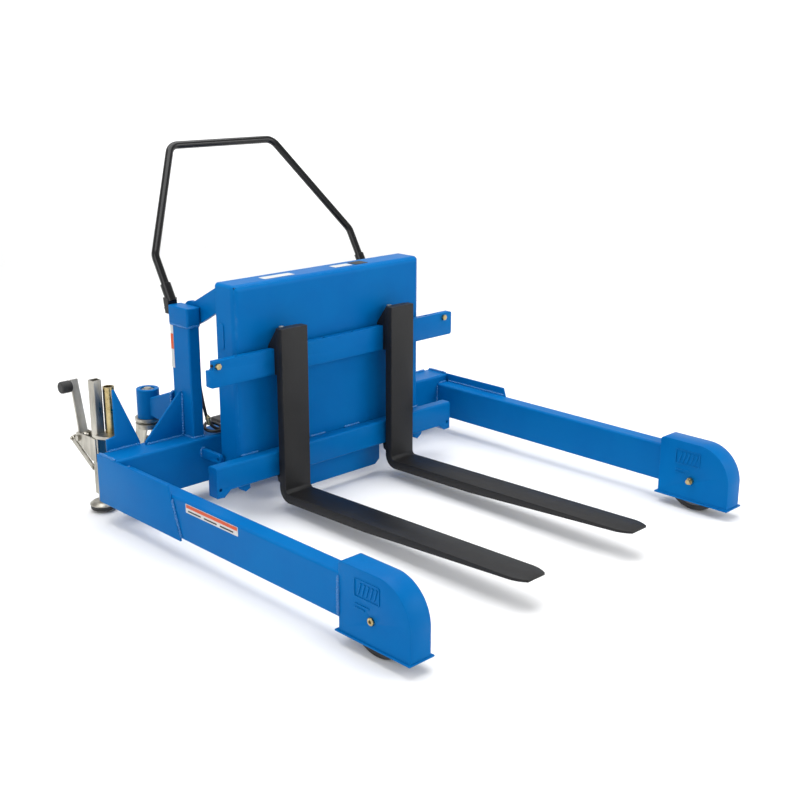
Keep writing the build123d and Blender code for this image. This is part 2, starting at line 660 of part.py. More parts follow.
lower_bar_middle = (lower_bar_bottom + lower_bar_top) / 2
with BuildPart() as lower_bar:
    with BuildSketch(plane_across(-lower_bar_half)):
        with Locations(((lower_bar_front + pan_front) / 2, lower_bar_middle)):
            RectangleRounded(pan_front - lower_bar_front, lower_bar_top - lower_bar_bottom, 8)
    extrude(amount=2 * lower_bar_half)
    with BuildSketch(plane_front(pan_front)):
        for side in (-1, 1):
            with BuildLine():
                Polyline((side * lower_bar_half, lower_bar_bottom + 20),
                         (side * lower_bar_half, lower_bar_bottom - 15),
                         (side * (lower_bar_half - 27), lower_bar_bottom - 17),
                         (side * (lower_bar_half - 50), lower_bar_bottom + 2),
                         (side * (lower_bar_half - 50), lower_bar_bottom + 20), close=True)
            make_face()
    extrude(amount=pan_front - lower_bar_front)
    with BuildSketch(plane_front(pan_front)):
        for side in (-1, 1):
            with BuildLine():
                Polyline((side * 412, lower_bar_bottom + 6), (side * 402, lower_bar_bottom - 22),
                         (side * 382, lower_bar_bottom - 34), (side * 364, lower_bar_bottom - 26),
                         (side * 364, lower_bar_bottom + 6), close=True)
            make_face()
    extrude(amount=9)
    with BuildSketch(plane_front(pan_front)):
        with Locations((-lower_bar_half + 13, lower_bar_bottom + 10),
                       (lower_bar_half - 13, lower_bar_bottom + 10)):
            Circle(5.5)
    extrude(amount=pan_front - lower_bar_front, mode=Mode.SUBTRACT)
write(lower_bar, "lower_fork_bar")

skirt_half, skirt_bottom, skirt_top = 210.0, 28.0, 200.0
with BuildPart() as skirt:
    with BuildSketch(plane_front(pan_inside + 8)):
        with BuildLine():
            Polyline((-skirt_half, skirt_top), (-skirt_half, skirt_bottom + 16),
                     (-skirt_half + 20, skirt_bottom), (skirt_half - 20, skirt_bottom),
                     (skirt_half, skirt_bottom + 16), (skirt_half, skirt_top), close=True)
        make_face()
    extrude(amount=8)
write(skirt, "skirt_plate")

# ---------------------------------------------------------------- forks and their latches
rise = radians(blade_rise)
heel_outer, heel_inner = 44.0, 14.0
fork_rear = shank_front + shank_thickness
tip_y = shank_front - blade_length * cos(rise)
tip_lift = blade_length * sin(rise)
taper_start = 0.37
tip_taper, tip_half = 60.0, 34.0
with BuildPart() as fork:
    with BuildSketch(plane_across(-fork_offset - fork_width / 2)):
        with BuildLine():
            mid_y = shank_front + taper_start * (tip_y - shank_front)
            mid_lift = taper_start * tip_lift
            Polyline((fork_rear, fork_top), (shank_front, fork_top), (shank_front, blade_top),
                     (tip_y, blade_top + tip_lift), (tip_y, blade_top + tip_lift - tip_thickness),
                     (mid_y, blade_top + mid_lift - blade_thickness),
                     (fork_rear, blade_top - blade_thickness), close=True)
        make_face()
    extrude(amount=fork_width)
    across = fork.edges().filter_by(Axis.X)
    fillet(across.filter_by_position(Axis.Y, shank_front - 1, shank_front + 1)
           .filter_by_position(Axis.Z, blade_top - 1, blade_top + 1), heel_inner)
    fillet(fork.edges().filter_by(Axis.X).filter_by_position(Axis.Y, fork_rear - 1, fork_rear + 1)
           .filter_by_position(Axis.Z, 0, blade_top), heel_outer)
    with BuildSketch(Plane.XY):
        half, clear = fork_width / 2, 5.0
        for side in (-1, 1):
            with BuildLine():
                Polyline((-fork_offset + side * half, tip_y + tip_taper),
                         (-fork_offset + side * (half + clear), tip_y),
                         (-fork_offset + side * (half + clear), tip_y - clear),
                         (-fork_offset + side * tip_half, tip_y - clear),
                         (-fork_offset + side * tip_half, tip_y))
                ThreePointArc((-fork_offset + side * tip_half, tip_y),
                              (-fork_offset + side * (tip_half + 11), tip_y + 0.36 * tip_taper),
                              (-fork_offset + side * half, tip_y + tip_taper))
            make_face()
    extrude(amount=200, mode=Mode.SUBTRACT)
    # Upper hook over the carriage bar, with a lip behind it, and lower hook under the box bar.
    with BuildSketch(plane_across(-fork_offset - hook_half)):
        with BuildLine():
            Polyline((fork_rear, upper_bar_bottom), (fork_rear, fork_top - 1),
                     (fork_rear + 8, fork_top - 1), (hook_lip_y, hook_lip_top),
                     (hook_lip_y, upper_bar_top - 13),
                     (upper_bar_rear + 1, upper_bar_top - 13), (upper_bar_rear + 1, upper_bar_top + 1),
                     (upper_bar_front - 1, upper_bar_top + 1), (upper_bar_front - 1, upper_bar_bottom),
                     close=True)
        make_face()
        with BuildLine():
            Polyline((fork_rear, lower_bar_bottom - 1), (fork_rear, lower_bar_bottom - 30),
                     (fork_rear + 22, lower_bar_bottom - 20), (fork_rear + 26, lower_bar_bottom - 1),
                     close=True)
        make_face()
    extrude(amount=2 * hook_half)
    with BuildSketch(Plane.XY.offset(upper_bar_top)):
        with Locations((-fork_offset, latch_y)):
            Circle(latch_radius + running_gap)
    extrude(amount=fork_top - upper_bar_top, mode=Mode.SUBTRACT)
write(fork, "left_fork")
write(mirrored(fork), "right_fork")

with BuildPart() as latch:
    with BuildSketch(Plane.XY.offset(upper_bar_top + 1)):
        with Locations((-fork_offset, latch_y)):
            Circle(latch_radius)
    extrude(amount=latch_seat + latch_travel - upper_bar_top - 1)
    with BuildSketch(Plane.XY.offset(latch_seat + latch_travel)):
        with Locations((-fork_offset, latch_y)):
            Circle(9)
    extrude(amount=10)
    fillet(latch.faces().sort_by(Axis.Z)[-1].edges(), 2)
write(latch, "left_fork_latch")
write(mirrored(latch), "right_fork_latch")

# ---------------------------------------------------------------- lift cylinders
slope = atan2(rod_pin_y - base_pin_y, rod_pin_z - base_pin_z)
closed_length = hypot(rod_pin_y - base_pin_y, rod_pin_z - base_pin_z)


def along_cylinder(distance):
    """A plane square to the left cylinder, this far from its base pin."""
    return Plane(origin=(-cylinder_x, base_pin_y + distance * sin(slope),
                         base_pin_z + distance * cos(slope)),
                 x_dir=(1, 0, 0), z_dir=(0, sin(slope), cos(slope)))


barrel_start, barrel_bore = 40.0, 28.0
gland_length = 26.0
with BuildPart() as barrel:
    with BuildSketch(along_cylinder(barrel_start)):
        Circle(barrel_radius)
    extrude(amount=barrel_length - barrel_start)
    fillet(barrel.edges(), 3)
    with BuildSketch(along_cylinder(0)):
        Rectangle(eye_width - 8, 40)
    extrude(amount=barrel_start + 1)
    with BuildSketch(plane_across(-cylinder_x - eye_width / 2)):
        with Locations((base_pin_y, base_pin_z)):
            Circle(25)
    extrude(amount=eye_width)
    with BuildSketch(along_cylinder(barrel_start + 14)):
        Circle(barrel_bore)
    extrude(amount=barrel_length - barrel_start - 14 - gland_length, mode=Mode.SUBTRACT)
    with BuildSketch(along_cylinder(barrel_start + 14)):
        Circle(rod_radius + running_gap)
    extrude(amount=barrel_length - barrel_start, mode=Mode.SUBTRACT)
    with BuildSketch(plane_across(-cylinder_x - eye_width / 2)):
        with Locations((base_pin_y, base_pin_z)):
            Circle(base_pin_radius + running_gap)
    extrude(amount=eye_width, mode=Mode.SUBTRACT)
write(barrel, "left_cylinder_barrel")
write(mirrored(barrel), "right_cylinder_barrel")

with BuildPart() as rod:
    with BuildSketch(along_cylinder(barrel_start + 16)):
        Circle(barrel_bore - running_gap)
    extrude(amount=28)
    with BuildSketch(along_cylinder(barrel_start + 16)):
        Circle(rod_radius)
    extrude(amount=closed_length - barrel_start - 30)
    with BuildSketch(plane_across(-cylinder_x - eye_width / 2)):
        with Locations((rod_pin_y, rod_pin_z)):
            Circle(eye_radius)
    extrude(amount=eye_width)
    with BuildSketch(plane_across(-cylinder_x - cheek_half + 1)):
        with Locations((rod_pin_y, rod_pin_z)):
            Circle(13)
    extrude(amount=cheek_gap - 2)
write(rod, "left_cylinder_rod")
write(mirrored(rod), "right_cylinder_rod")

# ---------------------------------------------------------------- floor lock
with BuildPart() as lock_body:
    with BuildSketch(Plane.XY.offset(lock_bottom)):
        with Locations((lock_x, lock_y)):
            RectangleRounded(lock_size, lock_size, 5)
            Rectangle(lock_size - 7, lock_size - 7, mode=Mode.SUBTRACT)
    extrude(amount=lock_top - lock_bottom)
    with BuildSketch(plane_front(lock_y + lock_size)):
        with Locations((lock_x, link_foot_z)):
            SlotOverall(110, 26, rotation=90)
    extrude(amount=lock_size, mode=Mode.SUBTRACT)
write(lock_body, "lock_body")

guide_x, guide_y = -646.0, 76.0
with BuildPart() as lock_guide:
    with BuildSketch(Plane.XY.offset(260)):
        with Locations((guide_x, guide_y)):
            Circle(18)
            Circle(14, mode=Mode.SUBTRACT)
    extrude(amount=148)
write(lock_guide, "lock_guide_tube")

ear_thickness = 4.0
ear_inner_x = lock_x - lock_size / 2
pedal_pin_radius = 6.0
with BuildPart() as lock_bracket:
    with BuildSketch(Plane.XY.offset(250)):
        with BuildLine():
            Polyline((-680, cross_rear), (-628, cross_rear), (-628, 96), (lock_x + lock_size / 2, 96),
                     (lock_x + lock_size / 2, lock_y - lock_size / 2), (-702, lock_y - lock_size / 2),
                     (-702, 60), close=True)
        make_face()
    extrude(amount=10)
    for ear_x in (ear_inner_x - ear_thickness, lock_x + lock_size / 2):
        with BuildSketch(plane_across(ear_x)):
            with BuildLine():
                Polyline((84, 244), (84, 168), (112, 168), (204, 218), (204, 236), (196, 244),
                         close=True)
            make_face()
            with Locations((pedal_pivot_y, pedal_pivot_z)):
                Circle(pedal_pin_radius, mode=Mode.SUBTRACT)
        extrude(amount=ear_thickness)
write(lock_bracket, "lock_bracket")

with BuildPart() as pedal_pin:
    with BuildSketch(plane_across(ear_inner_x - ear_thickness - 3)):
        with Locations((pedal_pivot_y, pedal_pivot_z)):
            Circle(pedal_pin_radius)
    extrude(amount=lock_size + 2 * ear_thickness + 6)
    with BuildSketch(plane_across(ear_inner_x - ear_thickness)):
        with Locations((pedal_pivot_y, pedal_pivot_z)):
            RegularPolygon(10, 6)
    extrude(amount=-7)
write(pedal_pin, "lock_pedal_pin")

pedal_thickness = 8.0
pedal_end_y, pedal_end_z = 222.0, 389.0
arm_foot_half, arm_top_half, arm_over_grip = 15.0, 12.0, 20.0
link_pin_radius = 5.0
grip_length = 38.0
with BuildPart() as pedal:
    with BuildSketch(plane_across(lock_x - pedal_thickness / 2)):
        with BuildLine():
            Polyline((pedal_pivot_y - 6, pedal_pivot_z + 12), (pedal_pivot_y + 14, pedal_pivot_z + 10),
                     (link_top_y + 8, link_top_z + 8), (link_top_y + 6, link_top_z - 8),
                     (pedal_pivot_y, pedal_pivot_z - 14), close=True)
        make_face()
        with Locations((pedal_pivot_y, pedal_pivot_z)):
            Circle(15)
        with Locations((link_top_y, link_top_z)):
            Circle(9)
        with Locations((pedal_pivot_y, pedal_pivot_z)):
            Circle(pedal_pin_radius + running_gap, mode=Mode.SUBTRACT)
    extrude(amount=pedal_thickness)
    # The arm is a broad flat bar that narrows towards the grip.
    arm_angle = degrees(atan2(pedal_end_y - pedal_pivot_y, pedal_end_z - pedal_pivot_z))
    arm_length = hypot(pedal_end_y - pedal_pivot_y, pedal_end_z - pedal_pivot_z)
    arm_plane = Plane(origin=(lock_x, pedal_pivot_y, pedal_pivot_z), x_dir=(1, 0, 0),
                      z_dir=(0, -cos(radians(arm_angle)), sin(radians(arm_angle))))
    with BuildSketch(arm_plane.offset(-pedal_thickness / 2)):
        with BuildLine():
            Polyline((-arm_foot_half, 13), (-arm_top_half, arm_length + arm_over_grip),
                     (arm_top_half, arm_length + arm_over_grip), (arm_foot_half, 13), close=True)
        make_face()
    extrude(amount=pedal_thickness)
    for spacer_x in (lock_x - 14, lock_x + pedal_thickness / 2):
        with BuildSketch(plane_across(spacer_x)):
            with Locations((pedal_pivot_y, pedal_pivot_z)):
                Circle(10)
                Circle(pedal_pin_radius + running_gap, mode=Mode.SUBTRACT)
        extrude(amount=10)
    with BuildSketch(plane_across(lock_x - pedal_thickness / 2 - 12)):
        with Locations((link_top_y, link_top_z)):
            Circle(link_pin_radius)
    extrude(amount=12)
    with BuildSketch(plane_across(lock_x - arm_top_half - grip_length + 2)):
        with Locations((pedal_end_y, pedal_end_z)):
            Circle(7)
    extrude(amount=grip_length)
write(pedal, "lock_pedal")

grip_start = lock_x - arm_top_half - 1.5
with BuildPart() as grip:
    with BuildSketch(plane_across(grip_start)):
        with Locations((pedal_end_y, pedal_end_z)):
            Circle(19)
    extrude(amount=-grip_length)
    fillet(grip.edges(), 5)
    with BuildSketch(plane_across(grip_start)):
        with Locations((pedal_end_y, pedal_end_z)):
            Circle(7)
    extrude(amount=lock_x - arm_top_half - grip_length + 2 - grip_start, mode=Mode.SUBTRACT)
write(grip, "lock_pedal_grip")

link_thickness = 6.0
foot_clearance = 1.5
link_x = lock_x - pedal_thickness / 2 - 1 - link_thickness
with BuildPart() as link:
    link_angle = degrees(atan2(link_top_z - link_foot_z, link_top_y - link_foot_y))
    link_length = hypot(link_top_z - link_foot_z, link_top_y - link_foot_y)
    with BuildSketch(plane_across(link_x)):
        with Locations(((link_top_y + link_foot_y) / 2, (link_top_z + link_foot_z) / 2)):
            SlotCenterToCenter(link_length, 16, rotation=link_angle)
        with Locations((link_top_y, link_top_z)):
            Circle(link_pin_radius + running_gap, mode=Mode.SUBTRACT)
        with Locations((link_foot_y, link_foot_z)):
            Circle(link_pin_radius + foot_clearance, mode=Mode.SUBTRACT)
    extrude(amount=link_thickness)
write(link, "lock_link")

plunger_radius = 12.0
with BuildPart() as plunger:
    with BuildSketch(Plane.XY.offset(pad_bottom + 16)):
        with Locations((lock_x, lock_y)):
            Circle(plunger_radius)
    extrude(amount=330)
    with BuildSketch(Plane.XY.offset(pad_bottom + 14)):
        with Locations((lock_x, lock_y)):
            Circle(pad_radius)
    extrude(amount=4)
    with BuildSketch(Plane.XY.offset(pad_bottom + 18)):
        with Locations((lock_x, lock_y)):
            Circle(pad_radius)
    extrude(amount=7, taper=55)
    with BuildSketch(plane_across(lock_x - 4)):
        with Locations(((lock_y + link_foot_y) / 2, link_foot_z)):
            SlotCenterToCenter(link_foot_y - lock_y, 16)
    extrude(amount=7)
    with BuildSketch(plane_across(link_x - 2)):
        with Locations((link_foot_y, link_foot_z)):
            Circle(link_pin_radius)
    extrude(amount=link_thickness + 6)
write(plunger, "lock_plunger")

with BuildPart() as pad:
    with BuildSketch(Plane.XY.offset(pad_bottom)):
        with Locations((lock_x, lock_y)):
            Circle(pad_radius - 2)
    extrude(amount=14)
    fillet(pad.faces().sort_by(Axis.Z)[0].edges(), 3)
write(pad, "lock_pad")

# ---------------------------------------------------------------- hydraulic power unit and hoses
unit_plate_thickness = 8.0
unit_y = cross_rear + unit_plate_thickness
reservoir_bottom, reservoir_height = 86.0, 118.0
motor_radius, motor_length, motor_z = 50.0, 170.0, 141.0
with BuildPart() as unit_plate:
    with BuildSketch(plane_front(unit_y)):
        with Locations((0, 142)):
            RectangleRounded(470, 130, 8)
    extrude(amount=unit_plate_thickness)
write(unit_plate, "power_unit_plate")

with BuildPart() as reservoir:
    with BuildSketch(Plane.XY.offset(reservoir_bottom)):
        with Locations((-135, unit_y + 55)):
            RectangleRounded(190, 110, 16)
    extrude(amount=reservoir_height)
    fillet(reservoir.faces().sort_by(Axis.Z)[-1].edges(), 6)
    with BuildSketch(Plane.XY.offset(reservoir_bottom + reservoir_height)):
        with Locations((-195, unit_y + 55)):
            Circle(16)
    extrude(amount=14)
write(reservoir, "oil_reservoir")

with BuildPart() as valve_block:
    with BuildSketch(Plane.XY.offset(96)):
        with Locations((-10, unit_y + 45)):
            RectangleRounded(60, 90, 4)
    extrude(amount=90)
write(valve_block, "valve_block")

with BuildPart() as motor:
    with BuildSketch(plane_across(20)):
        with Locations((unit_y + 52, motor_z)):
            Circle(motor_radius)
    extrude(amount=motor_length)
    fillet(motor.faces().sort_by(Axis.X)[-1].edges(), 6)
    with BuildSketch(plane_front(unit_y + 20)):
        with Locations((105, motor_z)):
            Rectangle(60, 60)
    extrude(amount=20)
write(motor, "pump_motor")

hose_radius = 6.5
hose_x = cylinder_x + barrel_radius + 26
with BuildPart() as hose:
    with BuildLine() as hose_path:
        Spline((-9, unit_y + 45, 188), (-14, unit_y + 38, 226), (-140, -30, 262),
               (-hose_x, cross_front - 32, 246), (-hose_x, cross_front - 50, 200))
    with BuildSketch(Plane(origin=hose_path.line @ 0, z_dir=hose_path.line % 0)):
        Circle(hose_radius)
    sweep(path=hose_path.line)
write(both_sides(hose), "hydraulic_hoses")
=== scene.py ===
"""Looks for the portable fork container tilter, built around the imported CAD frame. Metres, +Z up."""

import json
import math

import bmesh
import bpy
from mathutils import Matrix, Vector


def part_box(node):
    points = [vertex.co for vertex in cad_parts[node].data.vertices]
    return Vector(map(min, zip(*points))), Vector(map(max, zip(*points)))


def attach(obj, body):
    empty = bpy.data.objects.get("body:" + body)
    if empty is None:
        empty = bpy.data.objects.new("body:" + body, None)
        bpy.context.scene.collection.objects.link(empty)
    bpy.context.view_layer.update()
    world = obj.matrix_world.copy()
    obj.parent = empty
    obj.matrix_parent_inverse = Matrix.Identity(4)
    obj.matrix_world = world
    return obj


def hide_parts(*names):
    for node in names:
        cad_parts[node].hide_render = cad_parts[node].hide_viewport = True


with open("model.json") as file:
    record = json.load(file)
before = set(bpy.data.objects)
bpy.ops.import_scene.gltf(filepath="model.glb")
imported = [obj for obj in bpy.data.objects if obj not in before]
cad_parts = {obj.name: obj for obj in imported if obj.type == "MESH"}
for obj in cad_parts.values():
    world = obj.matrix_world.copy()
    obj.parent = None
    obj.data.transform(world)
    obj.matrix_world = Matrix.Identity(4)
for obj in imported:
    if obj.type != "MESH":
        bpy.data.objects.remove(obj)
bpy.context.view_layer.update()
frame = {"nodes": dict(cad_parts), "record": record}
NODES = frame["nodes"]
NODE_BODY = {node: body for body, members in frame["record"]["behaviour"]["bodies"].items()
             for node in members}


# ------------------------------------------------------------------ shader helpers
class Shader:
    """A small builder for node-based materials on one Principled surface."""

    def __init__(self, name):
        self.material = bpy.data.materials.new(name)
        self.material.use_nodes = True
        self.tree = self.material.node_tree
        self.surface = self.tree.nodes["Principled BSDF"]
        self.coords = self.tree.nodes.new("ShaderNodeTexCoord").outputs["Object"]

    def node(self, kind, **inputs):
        made = self.tree.nodes.new(kind)
        for key, value in inputs.items():
            self.put(made.inputs[key.replace("_", " ")], value)
        return made

    def put(self, socket, value):
        if isinstance(value, bpy.types.NodeSocket):
            self.tree.links.new(value, socket)
        else:
            socket.default_value = value

    def noise(self, scale, detail=4.0, roughness=0.55, stretch=None):
        vector = self.coords
        if stretch:
            mapping = self.tree.nodes.new("ShaderNodeMapping")
            self.put(mapping.inputs["Vector"], self.coords)
            mapping.inputs["Scale"].default_value = stretch
            vector = mapping.outputs["Vector"]
        made = self.node("ShaderNodeTexNoise", Vector=vector, Scale=scale, Detail=detail,
                         Roughness=roughness)
        return made.outputs["Fac"]

    def math(self, operation, first, second=0.0, clamp=False):
        made = self.tree.nodes.new("ShaderNodeMath")
        made.operation = operation
        made.use_clamp = clamp
        self.put(made.inputs[0], first)
        self.put(made.inputs[1], second)
        return made.outputs[0]

    def span(self, value, low, high, to_low=0.0, to_high=1.0):
        made = self.tree.nodes.new("ShaderNodeMapRange")
        self.put(made.inputs["Value"], value)
        made.inputs["From Min"].default_value = low
        made.inputs["From Max"].default_value = high
        made.inputs["To Min"].default_value = to_low
        made.inputs["To Max"].default_value = to_high
        return made.outputs["Result"]

    def mix(self, factor, first, second):
        made = self.tree.nodes.new("ShaderNodeMix")
        made.data_type = "RGBA"
        self.put(made.inputs[0], factor)
        self.put(made.inputs[6], first)
        self.put(made.inputs[7], second)
        return made.outputs[2]

    def edges(self, radius):
        """1 on a sharp edge and 0 on a flat, from how far a rounded normal leans from the real one."""
        bevel = self.node("ShaderNodeBevel", Radius=radius)
        bevel.samples = 6
        geometry = self.tree.nodes.new("ShaderNodeNewGeometry")
        dot = self.tree.nodes.new("ShaderNodeVectorMath")
        dot.operation = "DOT_PRODUCT"
        self.tree.links.new(bevel.outputs["Normal"], dot.inputs[0])
        self.tree.links.new(geometry.outputs["Normal"], dot.inputs[1])
        return self.span(dot.outputs["Value"], 0.995, 0.80)

    def bump(self, height, distance, strength=1.0, normal=None):
        made = self.node("ShaderNodeBump", Height=height, Distance=distance, Strength=strength)
        if normal:
            self.put(made.inputs["Normal"], normal)
        return made.outputs["Normal"]

    def set(self, **inputs):
        for key, value in inputs.items():
            self.put(self.surface.inputs[key.replace("_", " ")], value)
        return self.material


def painted(name, deep, light, rough, coat, peel, worn_and_highlight_tone, wear_and_highlight_share=0.35, shine=0.25):
    """Sprayed or powder paint: cloudy colour, orange peel, and edge specks lightened towards a paler tone,
    partly rubbed wear and partly a painted highlight along the edges.
    """
    shader = Shader(name)
    cloud = shader.noise(3.5, 6, 0.6)
    speck = shader.noise(60, 3, 0.7)
    base = shader.mix(shader.span(cloud, 0.35, 0.65), deep, light)
    # Edge specks lightened towards the paler tone: partly rubbed wear, partly a painted highlight on sharp
    # edges.
    wear_and_highlight_mask = shader.math("MULTIPLY", shader.edges(0.004), shader.span(speck, 0.42, 0.62), clamp=True)
    wear_and_highlight_mask = shader.math("MULTIPLY", wear_and_highlight_mask, wear_and_highlight_share)
    colour = shader.mix(wear_and_highlight_mask, base, worn_and_highlight_tone)
    roughness = shader.math("ADD", shader.span(cloud, 0.3, 0.7, rough * 0.85, rough * 1.25),
                            shader.math("MULTIPLY", wear_and_highlight_mask, 0.25), clamp=True)
    rounded = shader.node("ShaderNodeBevel", Radius=0.0018).outputs["Normal"]
    normal = shader.bump(shader.noise(230, 2, 0.5), peel, 0.35, rounded)
    return shader.set(Base_Color=colour, Roughness=roughness, Normal=normal, Coat_Weight=coat,
                      Coat_Roughness=0.12, Specular_IOR_Level=shine)


def metal(name, dark, light, rough, streaks=(1, 1, 1), scale=40, spread=0.12):
    """Bare or plated steel: streaked colour and roughness with fine drawing lines."""
    shader = Shader(name)
    drawn = shader.noise(scale, 8, 0.65, streaks)
    cloud = shader.noise(9, 4, 0.5)
    both = shader.math("MULTIPLY", shader.math("ADD", drawn, cloud), 0.5)
    colour = shader.mix(shader.span(both, 0.35, 0.65), dark, light)
    roughness = shader.span(both, 0.3, 0.7, max(rough - spread, 0.03), rough + spread)
    rounded = shader.node("ShaderNodeBevel", Radius=0.0012).outputs["Normal"]
    normal = shader.bump(drawn, 0.0002, 0.3, rounded)
    return shader.set(Base_Color=colour, Metallic=1.0, Roughness=roughness, Normal=normal)


def rubbery(name, dark, light, rough, grain=300):
    """Moulded rubber or polyurethane: dusty patches over a fine grain."""
    shader = Shader(name)
    dust = shader.noise(18, 5, 0.6)
    colour = shader.mix(shader.span(dust, 0.4, 0.75), dark, light)
    roughness = shader.span(dust, 0.3, 0.7, rough - 0.1, rough + 0.12)
    rounded = shader.node("ShaderNodeBevel", Radius=0.0015).outputs["Normal"]
    normal = shader.bump(shader.noise(grain, 3, 0.6), 0.0004, 0.4, rounded)
    return shader.set(Base_Color=colour, Roughness=roughness, Normal=normal)


# The seventh argument of each paint is the paler tone its edge specks take: rubbed wear and a painted edge
# highlight.
BLUE = painted("blue_powder_coat", (0.0, 0.108, 0.345, 1), (0.0, 0.126, 0.375, 1), 0.36, 0.0,
               0.0006, (0.02, 0.20, 0.50, 1), 0.35, 0.05)
WELD_BLUE = painted("blue_over_weld", (0.0, 0.112, 0.35, 1), (0.01, 0.15, 0.42, 1), 0.22, 0.3,
                    0.0006, (0.03, 0.21, 0.50, 1), 0.35, 0.35)
FORK_BLACK = painted("fork_satin_black", (0.006, 0.006, 0.0065, 1), (0.012, 0.012, 0.0125, 1), 0.44,
                     0.0, 0.0010, (0.06, 0.05, 0.043, 1), 0.6, 0.24)
GLOSS_BLACK = painted("handle_gloss_black", (0.003, 0.003, 0.003, 1), (0.006, 0.006, 0.007, 1), 0.16,
                      0.0, 0.0004, (0.05, 0.05, 0.05, 1), 0.3, 0.3)
UNIT_BLACK = painted("power_unit_black", (0.010, 0.010, 0.011, 1), (0.022, 0.022, 0.023, 1), 0.42, 0.0,
                     0.0009, (0.12, 0.12, 0.12, 1), 0.4)
HUB_GREY = painted("hub_grey_paint", (0.10, 0.10, 0.105, 1), (0.16, 0.16, 0.165, 1), 0.5, 0.0,
                   0.0012, (0.3, 0.3, 0.3, 1), 0.4)
ZINC = metal("bright_zinc", (0.24, 0.225, 0.19, 1), (0.56, 0.54, 0.48, 1), 0.34, (1, 1, 0.15), 60)
YELLOW_ZINC = metal("yellow_zinc", (0.30, 0.23, 0.10, 1), (0.58, 0.47, 0.25, 1), 0.30, (1, 1, 1), 90)
CHROME = metal("polished_rod", (0.70, 0.70, 0.72, 1), (0.86, 0.86, 0.88, 1), 0.10, (1, 1, 0.05), 90,
               0.05)
BRONZE = metal("sintered_bronze", (0.32, 0.20, 0.09, 1), (0.52, 0.36, 0.18, 1), 0.38, (1, 1, 1), 160)
MACHINED = metal("machined_aluminium", (0.58, 0.59, 0.60, 1), (0.80, 0.81, 0.82, 1), 0.30, (1, 0.1, 1),
                 120)
TREAD = rubbery("wheel_tread", (0.010, 0.010, 0.011, 1), (0.045, 0.043, 0.040, 1), 0.62)
RUBBER = rubbery("black_rubber", (0.008, 0.008, 0.008, 1), (0.022, 0.022, 0.022, 1), 0.55, 220)
LABEL_WHITE = painted("label_white", (0.50, 0.50, 0.49, 1), (0.58, 0.58, 0.57, 1), 0.42, 0.1, 0.0001,
                      (0.62, 0.60, 0.56, 1), 0.5)
LABEL_ORANGE = painted("label_orange", (0.50, 0.055, 0.008, 1), (0.58, 0.075, 0.010, 1), 0.42, 0.1,
                       0.0001, (0.8, 0.5, 0.4, 1), 0.5)

MATERIAL_OF_SLOT = {
    "blue_paint": BLUE, "fork_black": FORK_BLACK, "handle_black": GLOSS_BLACK,
    "zinc_steel": ZINC, "yellow_zinc": YELLOW_ZINC, "chrome_rod": CHROME, "bronze": BRONZE,
    "tread_black": TREAD, "hub_grey": HUB_GREY, "black_rubber": RUBBER,
    "motor_black": UNIT_BLACK, "block_alu": MACHINED,
}
SLOT_OF_NODE = {part["node"]: part["material_slot"] for part in frame["record"]["subparts"]}

for node_name, node_object in NODES.items():
    node_object.data.materials.clear()
    node_object.data.materials.append(MATERIAL_OF_SLOT[SLOT_OF_NODE[node_name]])


# ------------------------------------------------------------------ mesh helpers
def add_piece(name, mesh_builder, material, body, smooth_angle=35.0):
    """Turn a bmesh into a named piece that rides on a body."""
    data = bpy.data.meshes.new(name)
    bmesh.ops.recalc_face_normals(mesh_builder, faces=mesh_builder.faces[:])
    mesh_builder.to_mesh(data)
    mesh_builder.free()
    data.materials.append(material)
    data.shade_smooth()
    data.set_sharp_from_angle(angle=math.radians(smooth_angle))
    piece = bpy.data.objects.new(name, data)
    bpy.context.scene.collection.objects.link(piece)
    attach(piece, body)
    return piece


def rounded_copy(node, width, segments=2, angle=28.0):
    """Stand in for a CAD node with the same shape and really rounded edges."""
    builder = bmesh.new()
    builder.from_mesh(NODES[node].data)
    bmesh.ops.remove_doubles(builder, verts=builder.verts[:], dist=2e-6)
    bmesh.ops.dissolve_limit(builder, angle_limit=math.radians(0.6), verts=builder.verts[:],
                             edges=builder.edges[:])
    sharp = [edge for edge in builder.edges
             if len(edge.link_faces) == 2 and edge.calc_face_angle(0.0) > math.radians(angle)]
    bmesh.ops.bevel(builder, geom=sharp, offset=width, offset_type="OFFSET", segments=segments,
                    profile=0.5, affect="EDGES", clamp_overlap=True)
    piece = add_piece(node + ".finished", builder, MATERIAL_OF_SLOT[SLOT_OF_NODE[node]],
                      NODE_BODY[node])
    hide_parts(node)
    return piece


def smooth_path(points, steps=8):
    """A Catmull-Rom curve through the points."""
    if len(points) < 3:
        return [Vector(point) for point in points]
    ends = [Vector(point) for point in points]
    knots = [ends[0] * 2 - ends[1]] + ends + [ends[-1] * 2 - ends[-2]]
    curve = []
    for index in range(1, len(knots) - 2):
        before, start, stop, after = knots[index - 1:index + 3]
        for step in range(steps):
            t = step / steps
            curve.append(0.5 * (2 * start + (stop - before) * t
                                + (2 * before - 5 * start + 4 * stop - after) * t * t
                                + (3 * start - before - 3 * stop + after) * t * t * t))
    curve.append(ends[-1])
    return curve


